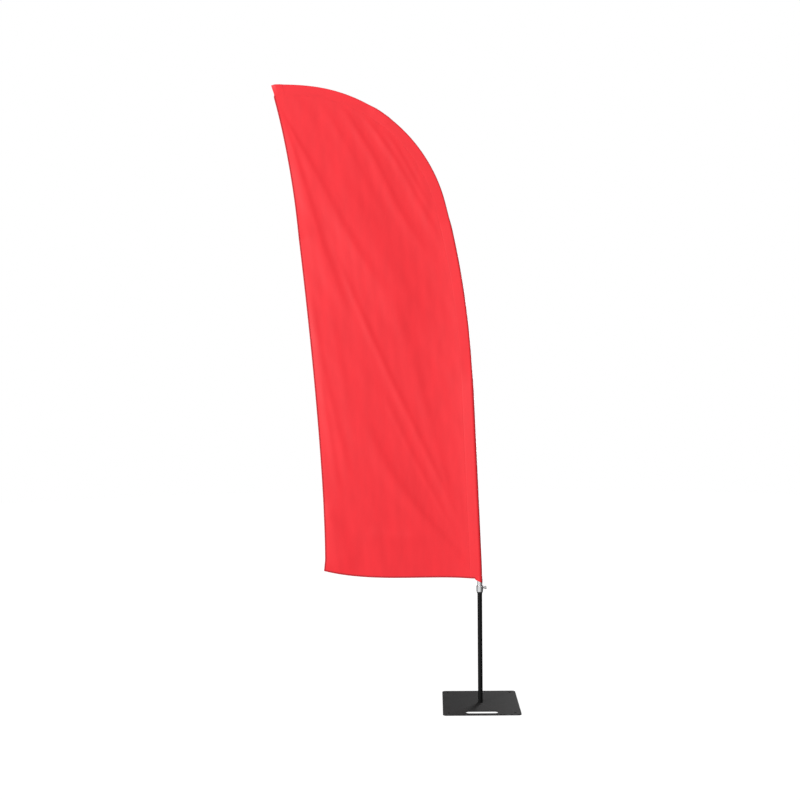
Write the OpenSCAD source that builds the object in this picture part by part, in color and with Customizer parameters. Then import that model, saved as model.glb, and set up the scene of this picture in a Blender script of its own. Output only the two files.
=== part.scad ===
// Feather flag on a turning mast, standing on a flat steel base plate.
// Millimetres. +Z is up, and the flag streams towards -X from the mast.
// The origin is on the floor, under the axis of the post.

/* [Base plate] */
// Side of the square base plate
plate_side = 400; // [360:5:480]
// Thickness of the base plate
plate_t = 6; // [5:1:10]
// Radius of the plate's corners
plate_corner_r = 17; // [5:1:30]
// Radius of each of the four corner holes
corner_hole_r = 6; // [3:0.5:8]
// Distance from a corner hole's axis to the plate's edges
corner_hole_inset = 30; // [22:1:40]
// Length of the hand slot, end to end
slot_length = 168; // [110:2:200]
// Width of the hand slot
slot_width = 40; // [28:1:44]
// Distance from the hand slot to the front edge
slot_edge = 20; // [14:1:30]

/* [Stub and post] */
// Outer diameter of the stub, the post and the lower mast tube
tube_od = 25; // [25:1:28]
// Wall of the post and of the lower mast tube
tube_wall = 1.5; // [1.3:0.1:1.6]
// Height of the stub above the plate
stub_h = 52; // [40:1:80]
// Length of the spigot that the post slips over
spigot_h = 90; // [60:1:120]
// Height of the top of the post's bearing housing above the plate
post_top = 583; // [450:1:700]

/* [Bearings and rotor] */
// Outer diameter of each ball bearing
bearing_od = 19; // [18.5:0.5:19]
// Bore of each ball bearing
bearing_bore = 8; // [7.5:0.5:8]
// Width of each ball bearing
bearing_w = 6; // [5.5:0.5:6]
// Length of the bearing housing
housing_h = 50; // [46:1:70]
// Length of the spindle inside the mast's foot
spindle_h = 55; // [40:1:55]

/* [Clamp collar and thumb screw] */
// Outer diameter of the collar
collar_od = 35; // [33:0.5:40]
// Height of the collar
collar_h = 32; // [28:1:40]
// Diameter of the thumb screw's shank
screw_d = 6; // [5:0.5:6]
// Diameter of the thumb screw's head
screw_head_d = 17; // [14:0.5:20]
// Distance from the mast's axis to the outer end of the thumb screw's head
screw_reach = 36; // [34:0.5:42]

/* [Mast] */
// Length of the straight foot of the mast
foot_run = 60; // [58:1:70]
// Length of the slight first bend
lean_run = 100; // [80:5:120]
// Radius of the slight first bend
lean_r = 2500; // [2400:50:4000]
// Length of the straight lower mast
straight_run = 960; // [940:10:980]
// Length of the gentle bend of the middle mast
sway_run = 945; // [935:5:955]
// Radius of the gentle bend of the middle mast
sway_r = 4500; // [4400:50:5000]
// Length of the strong bend over the head of the flag
head_run = 990; // [980:5:1000]
// Radius of the strong bend over the head of the flag
head_r = 825; // [815:5:850]
// Length of the flatter bend at the tip
tip_run = 210; // [205:5:220]
// Radius of the flatter bend at the tip
tip_r = 1300; // [1200:50:1600]
// Outer diameter of the middle mast tube
middle_od = 18; // [17:0.5:18]
// Diameter of the upper mast rod
upper_od = 12.5; // [12:0.1:12.5]
// Diameter of the tip rod
tip_od = 9; // [8:0.1:9]

/* [Flag] */
// Thickness of the flag's cloth
cloth_t = 0.6; // [0.4:0.1:1]
// Width of the elastic tension strap
strap_w = 12; // [8:1:14]

/* [Hidden] */
$fn = 96;
EPS = 0.01;
KEY = 1;            // half the length of the key between two stretches of one piece
HAIR = 0.05;        // hairline gap that the key bridges

// Fits
RUN = 0.05;        // running clearance on the radius
SEAT = 0.02;       // clearance on the radius of a seated ring
GAP = 0.2;         // gap between faces that meet end to end
CLOTH_GAP = 0.3;   // gap between the cloth and what is inside it

// Levels above the floor
TUBE_R = tube_od / 2;
TUBE_BORE = TUBE_R - tube_wall;
STUB_TOP = plate_t + stub_h;
HOUSING_TOP = plate_t + post_top;
FLANGE_H = 9;
FLANGE_R = TUBE_R + 3;
POST_TOP = HOUSING_TOP - FLANGE_H;
HOUSING_FOOT = HOUSING_TOP - housing_h;
LIP_H = 2;
SHOULDER_FOOT = HOUSING_TOP + 1;
SHOULDER_TOP = SHOULDER_FOOT + 4;
MAST_FOOT = SHOULDER_TOP + GAP;
COLLAR_FOOT = SHOULDER_FOOT + 0.3;
SCREW_Z = COLLAR_FOOT + collar_h * 0.68;
SPINDLE_TOP = SHOULDER_TOP + spindle_h;

// Screw that holds the stub on the plate
STUB_SCREW_R = 4.95;
STUB_SCREW_L = 36;
STUB_BORE_R = STUB_SCREW_R + RUN;
STUB_BORE_H = 40;
SINK_R = 10.2;
SINK_H = 5;
SINK_FIT = 0.25;
HEAD_FOOT = 0.5;
HEX_R = 3.4;
HEX_H = 4;

// Bearings
LIP_W = 2.5;
CAGE_HALF = 0.55;
CAGE_INSET = 0.6;
SPACER_T = 1.2;
CIRCLIP_T = 1;
CIRCLIP_DROP = 1.4;
CIRCLIP_DEEP = 0.6;
CIRCLIP_PLAY = 0.05;
BEARING_R = bearing_od / 2;
JOURNAL_R = bearing_bore / 2;
PITCH_R = (BEARING_R + JOURNAL_R) / 2;
BALL_R = 1.9;
BALLS = 8;
RING_T = 1.6;
BEARING_FEET = [HOUSING_FOOT + LIP_H, HOUSING_TOP - bearing_w];

// Thumb screw
SCREW_R = screw_d / 2;
PAD_L = 1.4;
PAD_TIP = TUBE_BORE;
HEAD_L = 11;
HEAD_R = screw_head_d / 2;
NECK = 2;
FLUTES = 12;
FLUTE_R = 1.6;
FLUTE_OUT = 0.9;

// The mast's axis: each stretch is a length and a radius, and a radius of 0 is straight.
// The stretches follow each other tangentially, bending towards -X.
RUNS = [foot_run, lean_run, straight_run, sway_run, head_run, tip_run];
RADII = [0, lean_r, 0, sway_r, head_r, tip_r];
LAST = len(RUNS) - 1;
function turned(l, r) = r == 0 ? 0 : l / r * 180 / PI;
function moved(p, a, l, r) = r == 0 ? p + l * [-sin(a), cos(a)]
    : let (d = turned(l, r)) p + r * [cos(a + d) - cos(a), sin(a + d) - sin(a)];
function run_start(i) = i == 0 ? 0 : run_start(i - 1) + RUNS[i - 1];
function run_lean(i) = i == 0 ? 0 : run_lean(i - 1) + turned(RUNS[i - 1], RADII[i - 1]);
function run_foot(i) = i == 0 ? [0, MAST_FOOT]
    : moved(run_foot(i - 1), run_lean(i - 1), RUNS[i - 1], RADII[i - 1]);
function run_at(s, i = LAST) = i == 0 || s >= run_start(i) ? i : run_at(s, i - 1);
function lean_at(s) = let (i = run_at(s)) run_lean(i) + turned(s - run_start(i), RADII[i]);
// The point s along the mast, moved outwards by off from its axis
function mast_point(s, off = 0) = let (i = run_at(s), a = lean_at(s))
    moved(run_foot(i), run_lean(i), s - run_start(i), RADII[i]) + off * [cos(a), sin(a)];

// Ends of the mast's sections, along its axis
LOWER_TOP = 1040;
LOWER_COLLAR = 40;
MIDDLE_TOP = 1900;
MIDDLE_COLLAR = 35;
UPPER_TOP = 2650;
INSERT = 60;
FERRULE_HALF = 40;
MAST_TIP = 3250;
SLEEVE_FOOT = 67;
CUFF_HEM = 18;
HEM_SLANT = 24;
SLEEVE_TIP = 3235;
POCKET_TIP = 3262;
MIDDLE_R = middle_od / 2;
MIDDLE_BORE = MIDDLE_R - 2;
UPPER_R = upper_od / 2;
TIP_R = tip_od / 2;
CAP_R = TIP_R + 1;
TIP_FERRULE_R = UPPER_R + 1.35;

// Where the sleeve changes size, and the radius of what it fits round from there on
SLEEVE_STEPS = [[foot_run + lean_run + GAP, TUBE_R], [LOWER_TOP + LOWER_COLLAR + 2, MIDDLE_R],
                [MIDDLE_TOP + MIDDLE_COLLAR + 2, TIP_FERRULE_R],
                [UPPER_TOP + FERRULE_HALF + 2, CAP_R], [SLEEVE_TIP, CAP_R]];
function sleeve_bore(s) = CLOTH_GAP + (s < SLEEVE_STEPS[1][0] ? SLEEVE_STEPS[0][1]
    : s < SLEEVE_STEPS[2][0] ? SLEEVE_STEPS[1][1]
    : s < SLEEVE_STEPS[3][0] ? SLEEVE_STEPS[2][1] : SLEEVE_STEPS[3][1]);

// The flag's free edges, as cubic curves
LEECH_TOP = [-1088, 3266];
LEECH_MID = [-946, 2454];
LEECH_LOW = [-818, 760];
FOOT_CORNER = [-824, 701];
FOOT_TACK = [-38, 661];
LEECH_HEAD = [LEECH_TOP, [-1022, 3040], [-968, 2725], LEECH_MID];
LEECH_BODY = [LEECH_MID, [-890, 1960], [-818, 1200], LEECH_LOW];
FOOT = [FOOT_CORNER, [-579, 638], [-296, 674], FOOT_TACK];
function cubic(p, t) = pow(1 - t, 3) * p[0] + 3 * pow(1 - t, 2) * t * p[1]
    + 3 * (1 - t) * t * t * p[2] + pow(t, 3) * p[3];

// --- Shapes that repeat ---

module ring(r_out, r_in, h) {
    difference() {
        cylinder(r = r_out, h = h);
        translate([0, 0, -1]) cylinder(r = r_in, h = h + 2);
    }
}

module rounded_square(side, r) {
    square([side - 2 * r, side], center = true);
    square([side, side - 2 * r], center = true);
    for (x = [-1, 1], y = [-1, 1])
        translate([x, y] * (side / 2 - r)) circle(r = r);
}

module slot_outline(length, width) {
    square([length - width, width], center = true);
    for (x = [-1, 1]) translate([x * (length - width) / 2, 0]) circle(d = width);
}

// One tangent stretch of a shape swept along the mast. In the 2D child, +X points outwards.
module mast_stretch(i, from, to) {
    r = RADII[i];
    lean = run_lean(i);
    foot = run_foot(i);
    if (r == 0)
        translate([foot[0], 0, foot[1]]) rotate([0, -lean, 0]) translate([0, 0, from])
            linear_extrude(to - from) children();
    else
        translate([foot[0] - r * cos(lean), 0, foot[1] - r * sin(lean)])
            rotate([90, 0, 0]) rotate([0, 0, lean + turned(from, r)])
                rotate_extrude(angle = turned(to - from, r)) translate([r, 0]) children();
}

module annulus(r_out, r_in) {
    difference() {
        circle(r = r_out);
        circle(r = r_in);
    }
}

// A tube along the mast's axis from s0 to s1. Where two stretches meet, a short key inside
// the wall makes them one solid.
module mast_tube(s0, s1, r_out, r_in) {
    wall = r_out - r_in;
    for (i = [0:LAST]) {
        from = max(s0 - run_start(i), 0);
        to = min(s1 - run_start(i), RUNS[i]);
        if (to > from) mast_stretch(i, from > 0 ? from : HAIR, to) annulus(r_out, r_in);
        if (i > 0 && s0 < run_start(i) - KEY && s1 > run_start(i) + KEY)
            translate([run_foot(i)[0], 0, run_foot(i)[1]]) rotate([0, -run_lean(i), 0])
                translate([0, 0, -KEY]) linear_extrude(2 * KEY)
                    annulus(r_out - wall / 4, r_in + wall / 4);
    }
}

module mast_rod(s0, s1, r) {
    for (i = [0:LAST]) {
        from = max(s0 - run_start(i), 0);
        to = min(s1 - run_start(i), RUNS[i]);
        if (to > from) mast_stretch(i, from > 0 ? from : HAIR, to) circle(r = r);
        if (i > 0 && s0 < run_start(i) - KEY && s1 > run_start(i) + KEY)
            translate([run_foot(i)[0], 0, run_foot(i)[1]]) rotate([0, -run_lean(i), 0])
                translate([0, 0, -KEY]) cylinder(r = r * 0.7, h = 2 * KEY);
    }
}

// --- Base ---

module base_plate() {
    color([0.2, 0.195, 0.2]) difference() {
        linear_extrude(plate_t) difference() {
            rounded_square(plate_side, plate_corner_r);
            translate([0, slot_edge + slot_width / 2 - plate_side / 2])
                slot_outline(slot_length, slot_width);
        }
        for (x = [-1, 1], y = [-1, 1])
            translate([x * (plate_side / 2 - corner_hole_inset),
                       y * (plate_side / 2 - corner_hole_inset), -1])
                cylinder(r = corner_hole_r, h = plate_t + 2);
        translate([0, 0, -1]) cylinder(r = STUB_SCREW_R + SINK_FIT, h = plate_t + 2);
        translate([0, 0, -EPS])
            cylinder(r1 = SINK_R, r2 = STUB_SCREW_R + SINK_FIT, h = SINK_H);
    }
}

module stub_spigot() {
    color([0.1, 0.1, 0.1]) difference() {
        rotate_extrude() polygon([
            [0, plate_t], [TUBE_R, plate_t], [TUBE_R, STUB_TOP - 1], [TUBE_R - 1, STUB_TOP],
            [TUBE_BORE - RUN, STUB_TOP], [TUBE_BORE - RUN, STUB_TOP + spigot_h - 3],
            [TUBE_BORE - RUN - 3, STUB_TOP + spigot_h], [0, STUB_TOP + spigot_h]]);
        translate([0, 0, plate_t - 1]) cylinder(r = STUB_BORE_R, h = STUB_BORE_H + 1);
    }
}

module stub_screw() {
    color([0.45, 0.45, 0.47]) difference() {
        union() {
            translate([0, 0, HEAD_FOOT])
                cylinder(r1 = SINK_R - 0.8, r2 = STUB_SCREW_R, h = SINK_H - 0.6);
            translate([0, 0, HEAD_FOOT + SINK_H - 0.6]) cylinder(r = STUB_SCREW_R, h = STUB_SCREW_L);
        }
        cylinder(r = HEX_R, h = HEX_H, $fn = 6);
    }
}

// --- Post ---

module post_tube() {
    color([0.08, 0.08, 0.085])
        translate([0, 0, STUB_TOP + GAP]) ring(TUBE_R, TUBE_BORE, POST_TOP - STUB_TOP - GAP);
}

module bearing_housing() {
    lip_r = BEARING_R - LIP_W;
    color([0.09, 0.09, 0.095]) rotate_extrude() polygon([
        [lip_r, HOUSING_FOOT], [TUBE_BORE - RUN, HOUSING_FOOT], [TUBE_BORE - RUN, POST_TOP],
        [TUBE_R, POST_TOP], [FLANGE_R, HOUSING_TOP - 1.5], [FLANGE_R, HOUSING_TOP],
        [BEARING_R + SEAT, HOUSING_TOP], [BEARING_R + SEAT, HOUSING_FOOT + LIP_H],
        [lip_r, HOUSING_FOOT + LIP_H]]);
}

module groove(r) {
    translate([0, 0, bearing_w / 2]) rotate_extrude() translate([PITCH_R, 0]) circle(r = r);
}

module bearing_outer_rings() {
    color([0.72, 0.72, 0.74]) for (z = BEARING_FEET) translate([0, 0, z]) difference() {
        ring(BEARING_R, BEARING_R - RING_T, bearing_w);
        groove(BALL_R + RUN);
    }
}

module bearing_inner_rings() {
    color([0.72, 0.72, 0.74]) for (z = BEARING_FEET) translate([0, 0, z]) difference() {
        ring(JOURNAL_R + RING_T, JOURNAL_R, bearing_w);
        groove(BALL_R + RUN);
    }
}

module bearing_cages() {
    color([0.75, 0.6, 0.3]) for (z = BEARING_FEET) translate([0, 0, z + CAGE_INSET])
        difference() {
            ring(PITCH_R + CAGE_HALF, PITCH_R - CAGE_HALF, bearing_w - 2 * CAGE_INSET);
            for (k = [0:BALLS - 1]) translate([0, 0, bearing_w / 2 - CAGE_INSET])
                rotate([0, 90, k * 360 / BALLS]) translate([0, 0, PITCH_R - 2])
                    cylinder(r = BALL_R + 0.1, h = 4);
        }
}

module bearing_balls() {
    color([0.85, 0.85, 0.87]) for (z = BEARING_FEET, k = [0:BALLS - 1])
        rotate([0, 0, k * 360 / BALLS]) translate([PITCH_R, 0, z + bearing_w / 2])
            sphere(r = BALL_R);
}

module bearing_spacer() {
    foot = BEARING_FEET[0] + bearing_w;
    color([0.6, 0.6, 0.62]) translate([0, 0, foot])
        ring(BEARING_R - SEAT, BEARING_R - SPACER_T, BEARING_FEET[1] - foot);
}

// --- Rotor ---

module rotor_spindle() {
    journal = JOURNAL_R - SEAT;
    groove_z = BEARING_FEET[0] - CIRCLIP_DROP;
    groove_top = groove_z + CIRCLIP_T + 2 * CIRCLIP_PLAY;
    groove_r = journal - CIRCLIP_DEEP;
    color([0.6, 0.6, 0.62]) rotate_extrude() polygon([
        [0, HOUSING_FOOT - 2], [journal - 0.5, HOUSING_FOOT - 2], [journal, HOUSING_FOOT - 1.5],
        [journal, groove_z], [groove_r, groove_z], [groove_r, groove_top],
        [journal, groove_top], [journal, HOUSING_TOP], [JOURNAL_R + RING_T, HOUSING_TOP],
        [JOURNAL_R + RING_T, SHOULDER_FOOT], [TUBE_R - 0.4, SHOULDER_FOOT],
        [TUBE_R - 0.4, SHOULDER_TOP], [TUBE_BORE - RUN, SHOULDER_TOP],
        [TUBE_BORE - RUN, SPINDLE_TOP - 4], [TUBE_BORE - RUN - 3, SPINDLE_TOP],
        [0, SPINDLE_TOP]]);
}

module retaining_ring() {
    foot = BEARING_FEET[0] - CIRCLIP_DROP + CIRCLIP_PLAY;
    color([0.3, 0.3, 0.32]) translate([0, 0, foot]) difference() {
        ring(JOURNAL_R + 1.9, JOURNAL_R - CIRCLIP_DEEP + CIRCLIP_PLAY, CIRCLIP_T);
        translate([0, -0.8, -1]) cube([8, 1.6, 3]);
    }
}

// --- Mast foot fittings ---

module clamp_collar() {
    r = collar_od / 2;
    top = COLLAR_FOOT + collar_h;
    color([0.82, 0.82, 0.84]) difference() {
        rotate_extrude() polygon([
            [TUBE_R + RUN, COLLAR_FOOT], [r - 1, COLLAR_FOOT], [r, COLLAR_FOOT + 1],
            [r, top - 2.5], [r - 2.5, top], [TUBE_R + RUN, top]]);
        translate([0, 0, SCREW_Z]) rotate([0, 90, 0]) cylinder(r = SCREW_R + RUN, h = collar_od);
    }
}

module screw_pad() {
    color([0.85, 0.85, 0.8]) translate([PAD_TIP, 0, SCREW_Z]) rotate([0, 90, 0])
        cylinder(r = SCREW_R - 0.5, h = PAD_L);
}

module thumb_screw() {
    shank_end = PAD_TIP + PAD_L + 0.1;
    head_foot = screw_reach - HEAD_L;
    neck_r = SCREW_R + NECK;
    neck_foot = head_foot - NECK;
    color([0.78, 0.78, 0.78]) translate([0, 0, SCREW_Z]) rotate([0, 90, 0]) difference() {
        rotate_extrude() polygon([
            [0, shank_end], [SCREW_R, shank_end], [SCREW_R, neck_foot],
            [neck_r, neck_foot], [neck_r, head_foot], [HEAD_R - 1, head_foot],
            [HEAD_R, head_foot + 1], [HEAD_R, screw_reach - 1], [HEAD_R - 1, screw_reach],
            [0, screw_reach]]);
        for (k = [0:FLUTES - 1]) rotate([0, 0, k * 360 / FLUTES])
            translate([HEAD_R + FLUTE_OUT, 0, head_foot - 1]) cylinder(r = FLUTE_R, h = HEAD_L + 2);
    }
}

// --- Mast ---

module mast_lower_tube() {
    color([0.75, 0.75, 0.77]) difference() {
        mast_tube(0, LOWER_TOP, TUBE_R, TUBE_BORE);
        translate([0, 0, SCREW_Z]) rotate([0, 90, 0])
            cylinder(r = SCREW_R + 0.3, h = collar_od);
    }
}

module lower_ferrule() {
    color([0.15, 0.15, 0.15]) {
        mast_tube(LOWER_TOP - INSERT, LOWER_TOP + KEY, TUBE_BORE - RUN, MIDDLE_R + RUN);
        mast_tube(LOWER_TOP + GAP, LOWER_TOP + LOWER_COLLAR, TUBE_R, MIDDLE_R + RUN);
    }
}

module mast_middle_tube() {
    color([0.12, 0.12, 0.12])
        mast_tube(LOWER_TOP - INSERT + 5, MIDDLE_TOP, MIDDLE_R, MIDDLE_BORE);
}

module middle_bush() {
    color([0.15, 0.15, 0.15])
        mast_tube(MIDDLE_TOP - INSERT, MIDDLE_TOP, MIDDLE_BORE - RUN, UPPER_R + RUN);
}

module middle_collar() {
    color([0.15, 0.15, 0.15])
        mast_tube(MIDDLE_TOP + GAP, MIDDLE_TOP + MIDDLE_COLLAR, MIDDLE_R, UPPER_R + RUN);
}

module mast_upper_rod() {
    color([0.12, 0.12, 0.12]) mast_rod(MIDDLE_TOP - INSERT + 5, UPPER_TOP, UPPER_R);
}

module tip_ferrule() {
    color([0.7, 0.7, 0.72]) {
        mast_tube(UPPER_TOP - FERRULE_HALF, UPPER_TOP + GAP, TIP_FERRULE_R, UPPER_R + RUN);
        mast_tube(UPPER_TOP, UPPER_TOP + FERRULE_HALF, TIP_FERRULE_R - EPS, TIP_R + RUN);
    }
}

module mast_tip_rod() {
    color([0.12, 0.12, 0.12]) mast_rod(UPPER_TOP + GAP, MAST_TIP - CAP_R - 2 - GAP, TIP_R);
}

module tip_cap() {
    end = MAST_TIP - CAP_R;
    dome = mast_point(end - 0.5);
    color([0.1, 0.1, 0.1]) difference() {
        union() {
            mast_rod(end - 22, end, CAP_R);
            translate([dome[0], 0, dome[1]]) sphere(r = CAP_R - 0.1);
        }
        mast_rod(end - 23, end - 2, TIP_R + RUN);
    }
}

// --- Flag ---

module pole_sleeve() {
    color([0.93, 0.1, 0.12]) for (k = [0:len(SLEEVE_STEPS) - 2]) {
        from = SLEEVE_STEPS[k][0];
        to = SLEEVE_STEPS[k + 1][0];
        bore = sleeve_bore(from);
        mast_tube(from, to + (k < len(SLEEVE_STEPS) - 2 ? KEY : 0), bore + cloth_t, bore);
        // a step down to the next, narrower stretch
        if (k > 0)
            mast_tube(from + 0.3, from + KEY - 0.3, sleeve_bore(from - 1) + cloth_t / 2,
                      bore + cloth_t / 2);
    }
}

module tip_pocket() {
    bore = sleeve_bore(SLEEVE_TIP - 1);
    color([0.85, 0.08, 0.1]) {
        mast_tube(SLEEVE_TIP + GAP, POCKET_TIP, bore + cloth_t, bore);
        mast_rod(POCKET_TIP - 2, POCKET_TIP - GAP, bore + cloth_t / 2);
    }
}

// The cuff is the sleeve's reinforced foot. It ends in a slanting hem that is lowest on the
// outer side of the mast.
module sleeve_cuff() {
    bore = TUBE_R + CLOTH_GAP;
    hem_top = MAST_FOOT + foot_run;
    color([0.85, 0.08, 0.1]) {
        difference() {
            translate([0, 0, hem_top - CUFF_HEM]) ring(bore + cloth_t, bore, CUFF_HEM + EPS);
            translate([-2 * TUBE_R, -2 * TUBE_R, hem_top - CUFF_HEM / 2 - 1]) rotate([0, HEM_SLANT, 0])
                translate([0, 0, -4 * TUBE_R]) cube(4 * TUBE_R);
        }
        mast_tube(foot_run, foot_run + lean_run, bore + cloth_t, bore);
        translate([0, 0, hem_top - KEY])
            ring(bore + cloth_t * 0.75, bore + cloth_t * 0.25, 2 * KEY);
    }
}

// The strap is sewn to the cuff and looped over the thumb screw's shank
module tension_strap() {
    t = 1.2;
    foot = SCREW_Z - 9;
    collar_x = collar_od / 2 + CLOTH_GAP;
    cuff_x = TUBE_R + CLOTH_GAP + cloth_t + 0.1;
    collar_top = COLLAR_FOOT + collar_h;
    top = MAST_FOOT + SLEEVE_FOOT - 4;
    color([0.25, 0.05, 0.06]) difference() {
        translate([0, strap_w / 2, 0]) rotate([90, 0, 0]) linear_extrude(strap_w) polygon([
            [collar_x, foot], [collar_x + t, foot], [collar_x + t, collar_top - 2],
            [cuff_x + t, collar_top + 14], [cuff_x + t, top], [cuff_x, top],
            [cuff_x, collar_top + 14], [collar_x, collar_top - 2]]);
        translate([0, 0, SCREW_Z]) rotate([0, 90, 0])
            cylinder(r = SCREW_R + CLOTH_GAP, h = collar_od);
    }
}

module flag_panel() {
    gap = cloth_t + CLOTH_GAP;
    step = 24;
    luff = [for (s = [SLEEVE_FOOT:step:POCKET_TIP])
        mast_point(s, -sleeve_bore(s - step - 2) - gap)];
    tip = [mast_point(POCKET_TIP, -sleeve_bore(POCKET_TIP) - gap)];
    leech = [for (t = [0.02:0.07:1]) cubic(LEECH_HEAD, t)];
    body = [for (t = [0:0.08:1]) cubic(LEECH_BODY, t)];
    foot = [for (t = [0:0.08:1]) cubic(FOOT, t)];
    color([0.96, 0.14, 0.17]) translate([0, cloth_t / 2, 0]) rotate([90, 0, 0])
        linear_extrude(cloth_t) polygon(concat(luff, tip, leech, body, foot));
}

base_plate();
stub_spigot();
stub_screw();
post_tube();
bearing_housing();
bearing_outer_rings();
bearing_spacer();
bearing_cages();
bearing_balls();
bearing_inner_rings();
rotor_spindle();
retaining_ring();
clamp_collar();
screw_pad();
thumb_screw();
mast_lower_tube();
lower_ferrule();
mast_middle_tube();
middle_bush();
middle_collar();
mast_upper_rod();
tip_ferrule();
mast_tip_rod();
tip_cap();
pole_sleeve();
tip_pocket();
sleeve_cuff();
tension_strap();
flag_panel();
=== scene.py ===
"""The feather flag's looks: red knitted cloth on a bent mast, a black post and a steel plate."""

import math

import bmesh
import bpy
import numpy as np
from mathutils import Matrix, Vector


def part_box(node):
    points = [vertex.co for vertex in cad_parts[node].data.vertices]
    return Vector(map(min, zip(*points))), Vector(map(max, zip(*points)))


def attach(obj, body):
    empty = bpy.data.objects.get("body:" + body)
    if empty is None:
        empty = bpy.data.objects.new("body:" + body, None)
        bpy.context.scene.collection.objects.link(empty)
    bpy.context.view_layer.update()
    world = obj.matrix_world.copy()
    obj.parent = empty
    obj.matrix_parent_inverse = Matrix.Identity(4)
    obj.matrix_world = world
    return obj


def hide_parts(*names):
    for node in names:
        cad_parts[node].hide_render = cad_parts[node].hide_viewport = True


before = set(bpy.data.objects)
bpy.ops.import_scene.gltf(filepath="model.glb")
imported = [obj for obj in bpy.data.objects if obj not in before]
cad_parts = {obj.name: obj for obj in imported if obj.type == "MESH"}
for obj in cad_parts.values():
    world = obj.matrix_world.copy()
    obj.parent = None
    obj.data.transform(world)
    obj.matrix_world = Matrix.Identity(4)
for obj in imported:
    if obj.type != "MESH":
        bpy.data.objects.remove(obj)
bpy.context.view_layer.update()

MM = 0.001

# The mast's axis: the length and the bend radius of each stretch, and a radius of 0 is straight.
RUNS = (0.060, 0.100, 0.960, 0.945, 0.990, 0.210)
RADII = (0.0, 2.5, 0.0, 4.5, 0.825, 1.3)
MAST_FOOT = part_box("mast_lower_tube")[0].z

# How far along the mast things are
CUFF_FOOT = 0.045
SLEEVE_FOOT = 0.067
CUFF_TOP = SLEEVE_FOOT + 0.012
PATCH_FOOT = 3.205
SLANT_START = 2.9
FLAG_TIP = 3.265

SEAM_DEPTH = 0.049          # from the mast's axis to the seam that closes the sleeve
LEECH_SLANT = 0.29          # how far the leech runs back for each metre down from the tip
LEECH_END = 0.004           # how far below the tip's seam the leech's own curve stops

# How many points the lines on the flag have
SEAM_POINTS = 400
MAST_POINTS = 160
EDGE_POINTS = 80
HEAD_POINTS = 60

# The flag's free edges, as cubic curves in x and z
LEECH_HEAD = ((-0.946, 2.454), (-0.968, 2.725), (-1.022, 3.040), (-1.088, 3.266))
LEECH_BODY = ((-0.818, 0.760), (-0.818, 1.200), (-0.890, 1.960), (-0.946, 2.454))
FOOT_EDGE = ((-0.824, 0.701), (-0.579, 0.638), (-0.296, 0.674), (-0.049, 0.6612))

# What the sleeve fits round: how far along the mast, and the radius there in millimetres. The
# cloth bridges the steps between the mast's sections.
POLE_RADII = (
    (0.0, 12.6), (1.079, 12.6), (1.190, 9.1), (1.934, 9.1), (1.990, 6.4), (2.580, 6.4),
    (2.612, 7.7), (2.690, 7.7), (2.730, 4.7), (3.190, 4.7), (3.222, 5.6), (3.244, 5.6),
    (FLAG_TIP, 0.6),
)

# Folds in the cloth. Each is a crest that rises slowly on its left and falls on its right: the
# line of the falling side in x and z, the half width of that side at the start and at the end in
# millimetres, how many times wider the rising side is, and how steep the falling side is.
FOLDS = (
    # gathers that fan out from the tip
    (((-1.06, 3.19), (-0.96, 3.01), (-0.84, 2.80), (-0.71, 2.55), (-0.58, 2.33), (-0.42, 2.09)),
     7, 24, 2.6, 0.12),
    (((-1.04, 3.15), (-0.96, 2.92), (-0.90, 2.73), (-0.82, 2.45), (-0.74, 2.24), (-0.66, 2.00)),
     9, 20, 2.4, 0.14),
    (((-1.03, 2.98), (-0.97, 2.70), (-0.92, 2.40)), 7, 10, 2.4, 0.04),
    # the ridges that run down into the tack
    (((-0.76, 2.42), (-0.58, 2.00), (-0.46, 1.73), (-0.32, 1.44), (-0.18, 1.14), (-0.06, 0.88)),
     11, 11, 1.4, 0.15),
    (((-0.47, 2.25), (-0.34, 1.85), (-0.26, 1.55), (-0.17, 1.20), (-0.08, 0.92)),
     24, 12, 1.3, 0.06),
    (((-0.52, 1.70), (-0.35, 1.33), (-0.22, 1.08), (-0.10, 0.86)), 13, 7, 1.1, 0.09),
    # the hollow that runs into the tack
    (((-0.63, 1.56), (-0.45, 1.21), (-0.29, 1.00), (-0.13, 0.82), (-0.04, 0.71)),
     26, 10, 1.5, 0.17),
    # gathers under the bend of the head
    (((-0.72, 3.19), (-0.53, 2.88), (-0.41, 2.62), (-0.22, 2.32)), 10, 17, 1.8, 0.14),
    (((-0.62, 3.16), (-0.43, 2.89), (-0.30, 2.65), (-0.18, 2.44)), 8, 13, 1.8, 0.14),
    (((-0.50, 3.09), (-0.34, 2.80), (-0.21, 2.56)), 7, 11, 1.8, 0.13),
    (((-0.40, 2.99), (-0.27, 2.74), (-0.18, 2.54)), 6, 9, 1.8, 0.12),
    (((-0.81, 3.18), (-0.64, 2.88), (-0.47, 2.56)), 9, 14, 2.0, 0.05),
    # broad swells
    (((-0.70, 2.85), (-0.42, 2.36), (-0.24, 1.96)), 60, 110, 1.1, 0.05),
    # streaks beside the leech
    (((-0.89, 2.28), (-0.81, 1.75), (-0.72, 1.39), (-0.63, 1.05)), 11, 18, 1.6, 0.08),
    (((-0.84, 1.78), (-0.77, 1.36), (-0.72, 1.06)), 10, 13, 1.4, 0.06),
    (((-0.78, 2.12), (-0.68, 1.62), (-0.57, 1.20)), 20, 28, 1.4, 0.04),
    # soft dents over the foot
    (((-0.60, 0.93), (-0.44, 0.90), (-0.28, 0.89)), 22, 22, 1.6, 0.06),
    (((-0.80, 1.08), (-0.72, 0.88), (-0.64, 0.68)), 38, 40, 1.7, 0.08),
)


# --- Lines on the flag ---

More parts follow.
